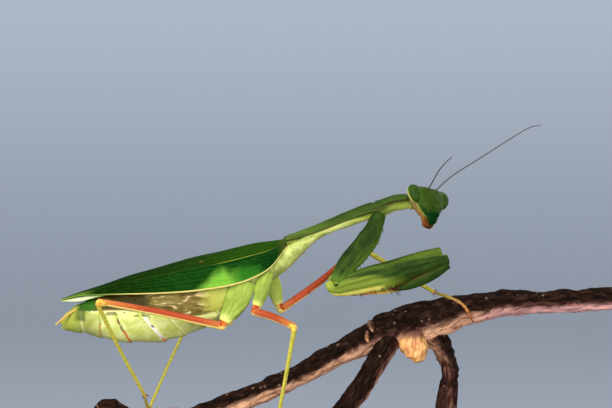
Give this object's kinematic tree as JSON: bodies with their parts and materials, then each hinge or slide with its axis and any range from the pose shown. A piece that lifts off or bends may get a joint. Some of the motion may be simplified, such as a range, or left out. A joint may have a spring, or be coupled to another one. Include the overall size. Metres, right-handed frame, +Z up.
{
  "type": "praying mantis display model",
  "caption": "Life-size green praying mantis stepping up a forked cut branch, head turned to its right, on a wooden base with short brass rods.",
  "frame": {"origin": "middle of the flat underside of the stand's base", "axes": "+X the way the animal's body faces, +Y its left side, +Z up"},
  "size_m": [0.1074, 0.0519, 0.0696],
  "materials": {
    "leaf_green": "satin leaf-green insect shell",
    "eye_green": "smooth glossy green compound eye",
    "mouth_brown": "orange-brown mouthparts",
    "feeler_brown": "grey-brown thread-like antennae",
    "pale_green": "pale yellow-green soft shell",
    "belly_cream": "cream and yellow-green belly with olive sides",
    "leg_orange": "orange-red femora with a cream lower edge",
    "shin_yellow": "yellow-green tibiae",
    "foot_tan": "pinkish tan tarsi",
    "wing_green": "leathery dark green forewing with a cream outer edge",
    "hindwing_cream": "folded pale membrane wing",
    "bark": "rough dark red-brown bark",
    "cut_wood": "pale orange healed cut",
    "stand_wood": "dark stained, satin varnished wood",
    "stand_brass": "satin brass rod"
  },
  "bodies": {
    "root": {"head": "leaf_green", "eye_right": "eye_green", "eye_left": "eye_green", "mouthparts": "mouth_brown", "antenna_right": "feeler_brown", "antenna_left": "feeler_brown", "neck": "pale_green", "prothorax": "leaf_green", "pterothorax": "pale_green", "abdomen": "belly_cream", "cercus_right": "leg_orange", "cercus_left": "leg_orange", "tegmen_right": "wing_green", "tegmen_left": "wing_green", "hindwing_right": "hindwing_cream", "hindwing_left": "hindwing_cream", "fore_right_coxa": "leaf_green", "fore_right_femur": "leaf_green", "fore_right_tibia": "leaf_green", "fore_right_tarsus": "shin_yellow", "fore_left_coxa": "leaf_green", "fore_left_femur": "leaf_green", "fore_left_tibia": "leaf_green", "fore_left_tarsus": "shin_yellow", "middle_right_coxa": "pale_green", "middle_right_femur": "leg_orange", "middle_right_tibia": "shin_yellow", "middle_right_tarsus": "foot_tan", "middle_left_coxa": "pale_green", "middle_left_femur": "leg_orange", "middle_left_tibia": "shin_yellow", "middle_left_tarsus": "foot_tan", "hind_right_coxa": "pale_green", "hind_right_femur": "leg_orange", "hind_right_tibia": "shin_yellow", "hind_right_tarsus": "foot_tan", "hind_left_coxa": "pale_green", "hind_left_femur": "leg_orange", "hind_left_tibia": "shin_yellow", "hind_left_tarsus": "foot_tan", "perch_branch": "bark", "perch_fork_left": "bark", "perch_fork_right": "bark", "perch_scar": "cut_wood", "stand_base": "stand_wood", "stand_rod_rear": "stand_brass", "stand_rod_front": "stand_brass"}
  },
  "joints": []
}
